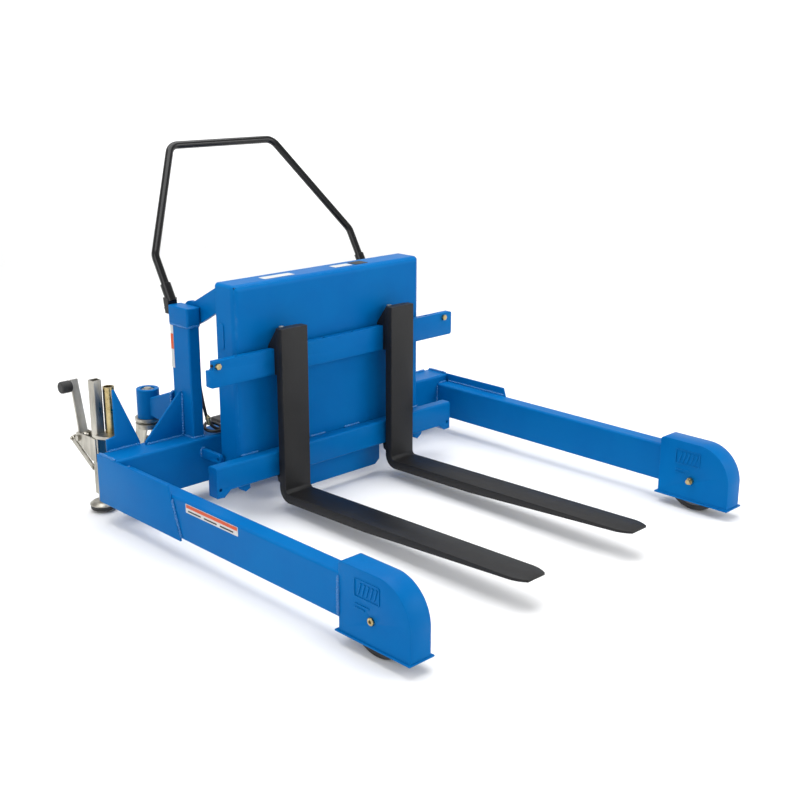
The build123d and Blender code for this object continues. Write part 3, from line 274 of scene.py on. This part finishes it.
def sweep_rings(builder, path, radius_at, sides=14, start_angle=0.0, squash=1.0):
    """A closed tube along a path, with its own radius at every ring."""
    direction = (path[1] - path[0]).normalized()
    side = direction.orthogonal().normalized()
    rings = []
    for index, centre in enumerate(path):
        if 0 < index < len(path) - 1:
            new_direction = (path[index + 1] - path[index - 1]).normalized()
        elif index == 0:
            new_direction = direction
        else:
            new_direction = (path[-1] - path[-2]).normalized()
        side = (side - new_direction * side.dot(new_direction)).normalized()
        other = new_direction.cross(side)
        radius = radius_at(index)
        rings.append([builder.verts.new(centre + radius * (
            side * math.cos(start_angle + 2 * math.pi * k / sides)
            + other * squash * math.sin(start_angle + 2 * math.pi * k / sides)))
            for k in range(sides)])
    for first, second in zip(rings, rings[1:]):
        for k in range(sides):
            builder.faces.new((first[k], first[(k + 1) % sides], second[(k + 1) % sides], second[k]))
    builder.faces.new(rings[0][::-1])
    builder.faces.new(rings[-1])


def add_bead(builder, points, radius=0.0035, pitch=0.0085):
    """One weld bead: a rope of overlapping ripples along straight runs between the points."""
    for start, stop in zip(points, points[1:]):
        start, stop = Vector(start), Vector(stop)
        length = (stop - start).length
        ripples = max(3, int(length / pitch))
        rings = ripples * 6
        path = [start.lerp(stop, index / rings) for index in range(rings + 1)]

        def ripple_radius(index):
            wave = abs(math.sin(math.pi * index / 6))
            wander = 0.08 * math.sin(index * 0.19) + 0.06 * math.sin(index * 0.057)
            ends = min(1.0, 0.45 + 0.14 * min(index, rings - index))
            return radius * (0.76 + 0.34 * wave + wander) * ends

        sweep_rings(builder, path, ripple_radius, sides=8)


def weld_group(name, body, runs, radius=0.0035):
    """All beads of one body's seams as a single piece in the body's paint."""
    builder = bmesh.new()
    for run in runs:
        add_bead(builder, run, radius)
    add_piece(name, builder, WELD_BLUE, body, 75)


def lathe(name, profile, centre, axis, material, body, sides=48, smooth_angle=35.0):
    """A turned piece: the profile holds (distance along the axis, radius) pairs."""
    axis = Vector(axis).normalized()
    side = axis.orthogonal().normalized()
    other = axis.cross(side)
    builder = bmesh.new()
    rings = []
    for along, radius in profile:
        base = Vector(centre) + axis * along
        rings.append([builder.verts.new(base + radius * (side * math.cos(2 * math.pi * k / sides)
                                                         + other * math.sin(2 * math.pi * k / sides)))
                      for k in range(sides)])
    for first, second in zip(rings, rings[1:]):
        for k in range(sides):
            builder.faces.new((first[k], first[(k + 1) % sides], second[(k + 1) % sides], second[k]))
    builder.faces.new(rings[0][::-1])
    builder.faces.new(rings[-1])
    return add_piece(name, builder, material, body, smooth_angle)


def mirrored_x(points):
    return [(-x, y, z) for x, y, z in points]


# ------------------------------------------------------------------ really rounded plates and castings
ROUNDED = {
    "left_fork": 0.0028, "right_fork": 0.0028, "left_wheel_cover": 0.0035, "right_wheel_cover": 0.0035,
    "side_plates": 0.0012, "base_gussets": 0.0012, "upper_fork_bar": 0.0018, "lower_fork_bar": 0.0018,
    "lever_cheeks": 0.0012, "tilt_arms": 0.0012, "post_heads": 0.0020, "cross_member": 0.0020,
    "cylinder_base_lugs": 0.0010, "power_unit_plate": 0.0010, "skirt_plate": 0.0010,
}
for node_name, width in ROUNDED.items():
    rounded_copy(node_name, width)


# ------------------------------------------------------------------ weld beads
def ring_run(low, high, z):
    """A closed run around an upright rectangular foot."""
    return [(low[0], low[1], z), (high[0], low[1], z), (high[0], high[1], z), (low[0], high[1], z),
            (low[0], low[1], z)]


RAIL_LOW, RAIL_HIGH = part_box("left_outrigger")
CROSS_LOW, CROSS_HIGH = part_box("cross_member")
PLATE_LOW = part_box("side_plates")[0]
POST_LOW, POST_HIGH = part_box("left_post")
PAN_LOW, PAN_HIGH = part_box("back_pan")
BAR_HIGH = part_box("lower_fork_bar")[1]
CHEEK_LOW, CHEEK_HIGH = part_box("lever_cheeks")

plate_slope = (0.053, 0.156)          # run and rise of the side plate's slanting front edge
rail_in = RAIL_HIGH[0] + 0.0005
rail_out = RAIL_LOW[0] - 0.001
rail_edge = RAIL_LOW[0] + 0.001
rail_root = CROSS_LOW[1] - 0.001      # where the rail meets the cross-member
cover_seam = RAIL_LOW[1] + 0.001      # where the rail meets its wheel cover
deck = CROSS_HIGH[2] + 0.001
post_back = POST_HIGH[1] + 0.001
corner_gusset_y, post_gusset_y = CROSS_HIGH[1] - 0.009, -0.0105
bracket_sides, bracket_heights = (-0.4415, -0.4085), (0.244, 0.356)
lug_sides, lug_heights = (-0.4185, -0.4035), (0.158, 0.188)
rise_to_rail = (RAIL_HIGH[2] - PLATE_LOW[2]) / plate_slope[1] * plate_slope[0]


def bridge_run(sides, y, heights):
    """Up one side of an upright plate's seam, across its top and down the other side."""
    return [(sides[0], y, heights[0]), (sides[0], y, heights[1]), (sides[1], y, heights[1]),
            (sides[1], y, heights[0])]


left_runs = [
    [(rail_out, PLATE_LOW[1] + rise_to_rail - 0.005, RAIL_HIGH[2] - 0.010),
     (rail_out, PLATE_LOW[1] - 0.001, RAIL_LOW[2] + 0.004)],
    [(rail_edge, PLATE_LOW[1] + rise_to_rail + 0.004, RAIL_HIGH[2] + 0.001),
     (rail_edge, CROSS_LOW[1] - 0.003, RAIL_HIGH[2] + 0.001)],
    [(rail_in, rail_root, RAIL_LOW[2] + 0.010), (rail_in, rail_root, RAIL_HIGH[2] - 0.008)],
    [(RAIL_LOW[0] + 0.006, rail_root, RAIL_HIGH[2]), (rail_in - 0.008, rail_root, RAIL_HIGH[2])],
    [(rail_edge, CROSS_LOW[1] + 0.006, deck), (rail_edge, CROSS_HIGH[1] - 0.004, deck)],
    ring_run(POST_LOW, POST_HIGH, deck),
    ring_run(POST_LOW, POST_HIGH, POST_HIGH[2]),
    [(-0.698, corner_gusset_y, deck), (-0.584, corner_gusset_y, deck)],
    [(-0.574, post_gusset_y, deck), (POST_LOW[0] - 0.004, post_gusset_y, deck),
     (POST_LOW[0] - 0.001, post_gusset_y, 0.362)],
    [(RAIL_LOW[0] + 0.008, cover_seam, RAIL_HIGH[2]), (rail_in - 0.008, cover_seam, RAIL_HIGH[2])],
    [(rail_in, cover_seam, RAIL_LOW[2] + 0.008), (rail_in, cover_seam, RAIL_HIGH[2] - 0.008)],
    [(RAIL_LOW[0], RAIL_LOW[1] + 0.0005, RAIL_LOW[2] + 0.008),
     (RAIL_LOW[0], RAIL_LOW[1] + 0.0005, RAIL_HIGH[2] - 0.008)],
    bridge_run(bracket_sides, post_back, bracket_heights),
    bridge_run(lug_sides, rail_root, lug_heights),
]
weld_group("chassis_welds", "chassis", left_runs + [mirrored_x(run) for run in left_runs], 0.0050)

pan_face = PAN_LOW[1] - 0.001
bar_seam = BAR_HIGH[2] + 0.001
stitches = [[(x, pan_face, bar_seam), (x + 0.070, pan_face, bar_seam)]
            for x in (-0.390, -0.110, 0.040, 0.320)]
pan_side, pan_corner = 0.3965, pan_face + 0.002
bar_ends = [[(side * pan_side, pan_corner, BAR_HIGH[2] - 0.070),
             (side * pan_side, pan_corner, BAR_HIGH[2] - 0.004)] for side in (-1, 1)]
inside = PAN_LOW[1] + 0.007
cheek_faces, arm_faces = (0.1695, 0.2305), (0.3705, 0.3835)
cheek_seams = [[(side * x, inside, CHEEK_LOW[2] + 0.006), (side * x, inside, CHEEK_HIGH[2] - 0.006)]
               for side in (-1, 1) for x in cheek_faces]
arm_seams = [[(side * x, inside, 0.566), (side * x, inside, 0.718)]
             for side in (-1, 1) for x in arm_faces]
weld_group("tilt_frame_welds", "tilt_frame", stitches + bar_ends + cheek_seams + arm_seams, 0.0044)


# ------------------------------------------------------------------ plain labels and raised emblem
def sheet(name, corner, along, across, thickness, material, body, radius=0.002):
    """A thin plate with rounded corners: a corner point and its two edge vectors."""
    corner, along, across = Vector(corner), Vector(along), Vector(across)
    lift = along.cross(across).normalized() * thickness
    length, width = along.length, across.length
    unit_a, unit_b = along / length, across / width
    outline = []
    for middle_a, middle_b, start in ((length - radius, width - radius, 0), (radius, width - radius, 90),
                                      (radius, radius, 180), (length - radius, radius, 270)):
        for step in range(5):
            turn = math.radians(start + 22.5 * step)
            outline.append(corner + unit_a * (middle_a + radius * math.cos(turn))
                           + unit_b * (middle_b + radius * math.sin(turn)))
    builder = bmesh.new()
    lower = [builder.verts.new(point) for point in outline]
    upper = [builder.verts.new(point + lift) for point in outline]
    builder.faces.new(lower[::-1])
    builder.faces.new(upper)
    for k in range(len(outline)):
        n = (k + 1) % len(outline)
        builder.faces.new((lower[k], lower[n], upper[n], upper[k]))
    return add_piece(name, builder, material, body)


label_thickness = 0.0004
sheet("rail_label", (RAIL_LOW[0] - 0.0001, -0.443, 0.160), (0, -0.243, 0), (0, 0, 0.027), label_thickness,
      LABEL_WHITE, "chassis")
sheet("rail_label_stripe", (RAIL_LOW[0] - 0.0004, -0.446, 0.175), (0, -0.237, 0), (0, 0, 0.0105),
      label_thickness, LABEL_ORANGE, "chassis", radius=0.001)
for index in range(3):
    sheet(f"rail_label_line_{index}", (RAIL_LOW[0] - 0.0004, -0.455 - 0.075 * index, 0.1645),
          (0, -0.060, 0), (0, 0, 0.0045), label_thickness, UNIT_BLACK, "chassis", radius=0.0005)

pan_top = PAN_HIGH[2] + 0.0001
sheet("pan_label_left", (-0.250, -0.222, pan_top), (0.120, 0, 0), (0, 0.034, 0), label_thickness,
      LABEL_WHITE, "tilt_frame")
sheet("pan_label_right", (0.040, -0.222, pan_top), (0.075, 0, 0), (0, 0.034, 0), label_thickness,
      LABEL_WHITE, "tilt_frame")
sheet("pan_patch", (0.125, -0.226, pan_top), (0.055, 0, 0), (0, 0.042, 0), 0.0012, UNIT_BLACK,
      "tilt_frame")
sheet("post_label", (POST_LOW[0] - 0.0001, 0.0385, 0.438), (0, -0.016, 0), (0, 0, 0.142), label_thickness,
      LABEL_WHITE, "chassis")
sheet("post_label_stripe", (POST_LOW[0] - 0.0004, 0.0375, 0.500), (0, -0.014, 0), (0, 0, 0.050),
      label_thickness, LABEL_ORANGE, "chassis", radius=0.001)


def emblem(name, face_x, outward):
    """A generic cast badge on a wheel cover: a raised rounded frame, slanting bars and two plain lines."""
    rear, low = RAIL_LOW[1] - 0.060, 0.150
    height = 0.0022
    builder = bmesh.new()

    def bar(start, stop, half_width):
        start, stop = Vector((start[0], start[1])), Vector((stop[0], stop[1]))
        along = (stop - start).normalized()
        side = Vector((-along.y, along.x)) * half_width
        base, top = [], []
        for point in (start - side, stop - side, stop + side, start + side):
            inset = point.lerp((start + stop) / 2, 0.04)
            base.append(builder.verts.new((face_x - outward * 0.0005, rear - point.x, low + point.y)))
            top.append(builder.verts.new((face_x + outward * height, rear - inset.x, low + inset.y)))
        builder.faces.new(base)
        builder.faces.new(top)
        for k in range(4):
            builder.faces.new((base[k], base[(k + 1) % 4], top[(k + 1) % 4], top[k]))

    for start, stop in (((0, 0), (0.086, 0)), ((0, 0.046), (0.086, 0.046)), ((0, 0), (0, 0.046)),
                        ((0.086, 0), (0.086, 0.046))):
        bar(start, stop, 0.0016)
    for index in range(5):
        bar((0.012 + 0.014 * index, 0.007), (0.022 + 0.014 * index, 0.039), 0.0026)
    for drop, length in ((-0.020, 0.052), (-0.030, 0.036)):
        bar((0.0, drop), (length, drop), 0.0018)
    add_piece(name, builder, BLUE, "chassis")


lip = 0.008                           # how far a cover's foot stands out past its sides
for side_name in ("left", "right"):
    cover_low, cover_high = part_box(side_name + "_wheel_cover")
    emblem(side_name + "_cover_badge_a", cover_low[0] + lip, -1)
    emblem(side_name + "_cover_badge_b", cover_high[0] - lip, 1)


# ------------------------------------------------------------------ small fittings
def hose(name, points, radius, material, body, sides=14):
    """A flexible line along a smooth path."""
    path = smooth_path(points)
    builder = bmesh.new()
    sweep_rings(builder, path, lambda index: radius, sides)
    return add_piece(name, builder, material, body, 60)


hose("post_hose", [(-0.376, -0.020, 0.470), (-0.378, -0.028, 0.400), (-0.374, -0.040, 0.320),
                   (-0.366, -0.052, 0.262), (-0.345, -0.066, 0.236), (-0.318, -0.060, 0.232),
                   (-0.322, -0.030, 0.240), (-0.352, -0.022, 0.247), (-0.374, -0.044, 0.236),
                   (-0.360, -0.070, 0.230), (-0.310, -0.072, 0.229), (-0.262, -0.060, 0.230)],
     0.0052, RUBBER, "chassis")
for index, (place, axis) in enumerate((((-0.262, -0.060, 0.230), (1, 0.25, 0)),
                                       ((-0.3655, -0.0525, 0.262), (-0.1, 0.15, 1)))):
    lathe(f"hose_ferrule_{index}", ((-0.012, 0.0060), (-0.011, 0.0072), (0.004, 0.0072), (0.005, 0.0092),
                                    (0.013, 0.0092), (0.014, 0.0064), (0.020, 0.0060)),
          place, axis, YELLOW_ZINC, "chassis", 6 if index == 0 else 20)
lathe("bar_end_pin", ((-0.004, 0.0042), (0.0055, 0.0042), (0.0065, 0.0032)),
      (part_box("upper_fork_bar")[0][0] + 0.0172, -0.273, 0.5125), (-1, 0, 0), UNIT_BLACK, "tilt_frame")
sheet("pan_side_strip", (PAN_LOW[0] + 0.0005, -0.172, 0.530), (0, -0.026, 0), (0, 0, 0.082), 0.0032, BLUE,
      "tilt_frame", radius=0.010)

# A thin black strip laid on the guide tube's side: painted shade standing in for the dark inside of the
# guide's slot.
tube_low, tube_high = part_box("lock_guide_tube")
tube_x, tube_y = (tube_low[0] + tube_high[0]) / 2, (tube_low[1] + tube_high[1]) / 2
tube_radius = (tube_high[0] - tube_low[0]) / 2
slot_from, slot_to, slot_steps = 142, 196, 9
builder = bmesh.new()
strips = []
for reach in (tube_radius - 0.0006, tube_radius + 0.0004):
    for height in (tube_low[2] + 0.010, tube_high[2] - 0.008):
        strips.append([builder.verts.new((tube_x + reach * math.cos(turn),
                                          tube_y + reach * math.sin(turn), height))
                       for turn in (math.radians(slot_from + (slot_to - slot_from) * step / slot_steps)
                                    for step in range(slot_steps + 1))])
inner_low, inner_high, outer_low, outer_high = strips
for first, second in ((outer_low, outer_high), (inner_high, inner_low), (outer_high, inner_high),
                      (inner_low, outer_low)):
    for k in range(slot_steps):
        builder.faces.new((first[k], first[k + 1], second[k + 1], second[k]))
for k in (0, slot_steps):
    builder.faces.new((outer_low[k], outer_high[k], inner_high[k], inner_low[k]))
add_piece("guide_slot_painted_shade", builder, UNIT_BLACK, "chassis")

grip_low, grip_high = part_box("lock_pedal_grip")
grip_middle = [(low + high) / 2 for low, high in zip(grip_low, grip_high)]
grip_radius = (grip_high[2] - grip_low[2]) / 2
rib_profile = [(0.0, grip_radius - 0.0020), (0.0012, grip_radius + 0.0008), (0.0026, grip_radius + 0.0008),
               (0.0038, grip_radius - 0.0020)]
for index in range(4):
    lathe(f"grip_rib_{index}", rib_profile, (grip_low[0] + 0.0065 + 0.0072 * index, *grip_middle[1:]),
          (1, 0, 0), RUBBER, "lock_pedal_body")

for side_name in ("left", "right"):
    for wheel_node, body, cap_radius in ((side_name + "_caster_hub", side_name + "_caster_wheel", 0.019),
                                         (side_name + "_front_hub", side_name + "_front_wheel", 0.021)):
        hub_low, hub_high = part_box(wheel_node)
        hub_middle = [(low + high) / 2 for low, high in zip(hub_low, hub_high)]
        for direction, face_x in ((-1, hub_low[0]), (1, hub_high[0])):
            lathe(f"{wheel_node}_seal_{'a' if direction < 0 else 'b'}",
                  ((-0.0015, cap_radius), (0.0001, cap_radius), (0.0003, cap_radius - 0.001),
                   (0.0003, cap_radius - 0.004), (-0.0001, cap_radius - 0.005)),
                  (face_x, *hub_middle[1:]), (direction, 0, 0), ZINC, body)

# ------------------------------------------------------------------ hydraulics and power unit
JOINTS = {joint["name"]: joint for joint in frame["record"]["behaviour"]["joints"]}
barrel_start, barrel_length = 0.040, 0.330        # from the base pin along the cylinder
for side_name in ("left", "right"):
    barrel_low, barrel_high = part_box(side_name + "_cylinder_barrel")
    pin = Vector(JOINTS[side_name + "_cylinder_swing"]["pos_m"])
    along = Vector(JOINTS[side_name + "_cylinder_stroke"]["axis"]).normalized()
    barrel_radius = (barrel_high[0] - barrel_low[0]) / 2
    gland = pin + along * (barrel_start + barrel_length - 0.030)
    lathe(side_name + "_gland_ring", ((0.0, barrel_radius - 0.001), (0.0005, barrel_radius + 0.0022),
                                      (0.0185, barrel_radius + 0.0022), (0.020, barrel_radius - 0.001)),
          gland, along, UNIT_BLACK, side_name + "_barrel_body", 60)
    foot = pin + along * (barrel_start + 0.001)
    builder = bmesh.new()
    side = along.orthogonal().normalized()
    other = along.cross(side)
    circle = [foot + (barrel_radius - 0.002) * (side * math.cos(math.radians(step))
                                               + other * math.sin(math.radians(step)))
              for step in range(0, 361, 5)]
    sweep_rings(builder, circle, lambda index: 0.0036 + 0.0008 * math.sin(index * 2.1), 8)
    add_piece(side_name + "_barrel_weld", builder, UNIT_BLACK, side_name + "_barrel_body",
              75)

tank_low, tank_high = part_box("oil_reservoir")
tank_x, tank_y = tank_low[0] + 0.045, (tank_low[1] + tank_high[1]) / 2
lathe("filler_cap", ((-0.001, 0.017), (0.006, 0.017), (0.007, 0.019), (0.014, 0.019), (0.016, 0.016),
                     (0.0165, 0.006), (0.0155, 0.003)),
      (tank_x, tank_y, tank_high[2] - 0.0005), (0, 0, 1), UNIT_BLACK, "chassis", 14)
sheet("tank_plate", (tank_low[0] + 0.040, tank_high[1] - 0.0003, tank_low[2] + 0.040), (0, 0, 0.042),
      (0.090, 0, 0), 0.0008, MACHINED, "chassis", radius=0.004)
for corner_x in (tank_low[0] + 0.046, tank_low[0] + 0.124):
    for corner_z in (tank_low[2] + 0.046, tank_low[2] + 0.076):
        lathe(f"tank_rivet_{corner_x:.3f}_{corner_z:.3f}",
              ((-0.001, 0.0022), (0.0006, 0.0022), (0.0012, 0.0012)),
              (corner_x, tank_high[1] + 0.0004, corner_z), (0, 1, 0), ZINC, "chassis", sides=16)


# ------------------------------------------------------------------ floor, light and camera
def build_stage():
    """A pale floor that curves up into a low ring wall far out, a white sky and soft boxes."""
    flat_reach, wall_reach, wall_height = 7.0, 12.0, 3.4
    profile = [(0.001, 0.0), (3.0, 0.0), (flat_reach, 0.0)]
    for step in range(1, 13):
        turn = math.pi / 2 * step / 12
        profile.append((flat_reach + (wall_reach - flat_reach) * math.sin(turn),
                        wall_height * (1 - math.cos(turn))))
    sides = 96
    builder = bmesh.new()
    rings = [[builder.verts.new((reach * math.cos(2 * math.pi * k / sides),
                                 reach * math.sin(2 * math.pi * k / sides), height))
              for k in range(sides)] for reach, height in profile]
    for first, second in zip(rings, rings[1:]):
        for k in range(sides):
            builder.faces.new((first[k], second[k], second[(k + 1) % sides], first[(k + 1) % sides]))
    floor_data = bpy.data.meshes.new("floor")
    builder.to_mesh(floor_data)
    builder.free()
    floor_data.shade_smooth()
    floor = bpy.data.objects.new("floor", floor_data)
    bpy.context.scene.collection.objects.link(floor)
    pale = Shader("pale_floor")
    tone = pale.mix(pale.span(pale.noise(0.8, 2), 0.4, 0.6), (0.90, 0.90, 0.90, 1), (0.92, 0.92, 0.92, 1))
    reach = pale.tree.nodes.new("ShaderNodeVectorMath")
    reach.operation = "LENGTH"
    pale.tree.links.new(pale.coords, reach.inputs[0])
    # Painted glow: the floor emits more light further from the middle, fading it to white far out.
    painted_far_glow = pale.span(reach.outputs["Value"], 3.5, 8.0, 0.0, 0.45)
    floor_data.materials.append(pale.set(Base_Color=tone, Roughness=0.8, Emission_Color=(1, 1, 1, 1),
                                         Emission_Strength=painted_far_glow))

    world = bpy.data.worlds.new("studio")
    world.use_nodes = True
    sky = world.node_tree.nodes["Background"]
    sky.inputs["Color"].default_value = (1.0, 1.0, 1.0, 1)
    ray = world.node_tree.nodes.new("ShaderNodeLightPath")
    level = world.node_tree.nodes.new("ShaderNodeMapRange")
    world.node_tree.links.new(ray.outputs["Is Camera Ray"], level.inputs["Value"])
    level.inputs["To Min"].default_value = 0.60
    level.inputs["To Max"].default_value = 1.0
    world.node_tree.links.new(level.outputs["Result"], sky.inputs["Strength"])
    bpy.context.scene.world = world

    def soft_box(name, place, target, size, power):
        light = bpy.data.lights.new(name, "AREA")
        light.shape = "RECTANGLE"
        light.size, light.size_y = size
        light.energy = power
        lamp = bpy.data.objects.new(name, light)
        bpy.context.scene.collection.objects.link(lamp)
        lamp.location = place
        lamp.rotation_euler = (Vector(target) - Vector(place)).to_track_quat("-Z", "Y").to_euler()

    middle = (0, -0.5, 0.4)
    soft_box("key_box", (-4.2, -0.8, 3.0), middle, (2.6, 2.6), 55)
    soft_box("fill_box", (2.6, -4.4, 2.4), middle, (3.0, 2.0), 85)
    soft_box("top_box", (0.2, 0.2, 4.6), middle, (4.5, 4.5), 230)


def build_camera():
    """The photograph's viewpoint, a little in front of the lock's corner and above the handle."""
    azimuth, elevation = math.radians(-44.0), math.radians(16.568)
    back = Vector((math.sin(azimuth) * math.cos(elevation), -math.cos(azimuth) * math.cos(elevation),
                   math.sin(elevation)))
    right = Vector((math.cos(azimuth), math.sin(azimuth), 0))
    up = back.cross(right)
    camera_data = bpy.data.cameras.new("camera")
    camera_data.lens = 53.24
    camera_data.sensor_width = 36.0
    camera_data.shift_x, camera_data.shift_y = 0.0119, 0.0019
    camera = bpy.data.objects.new("camera", camera_data)
    bpy.context.scene.collection.objects.link(camera)
    turn = Matrix((right, up, back)).transposed().to_4x4()
    camera.matrix_world = Matrix.Translation((-2.4753, -3.0835, 1.4128)) @ turn
    bpy.context.scene.camera = camera


build_stage()
build_camera()
bpy.context.scene.view_settings.view_transform = "Standard"
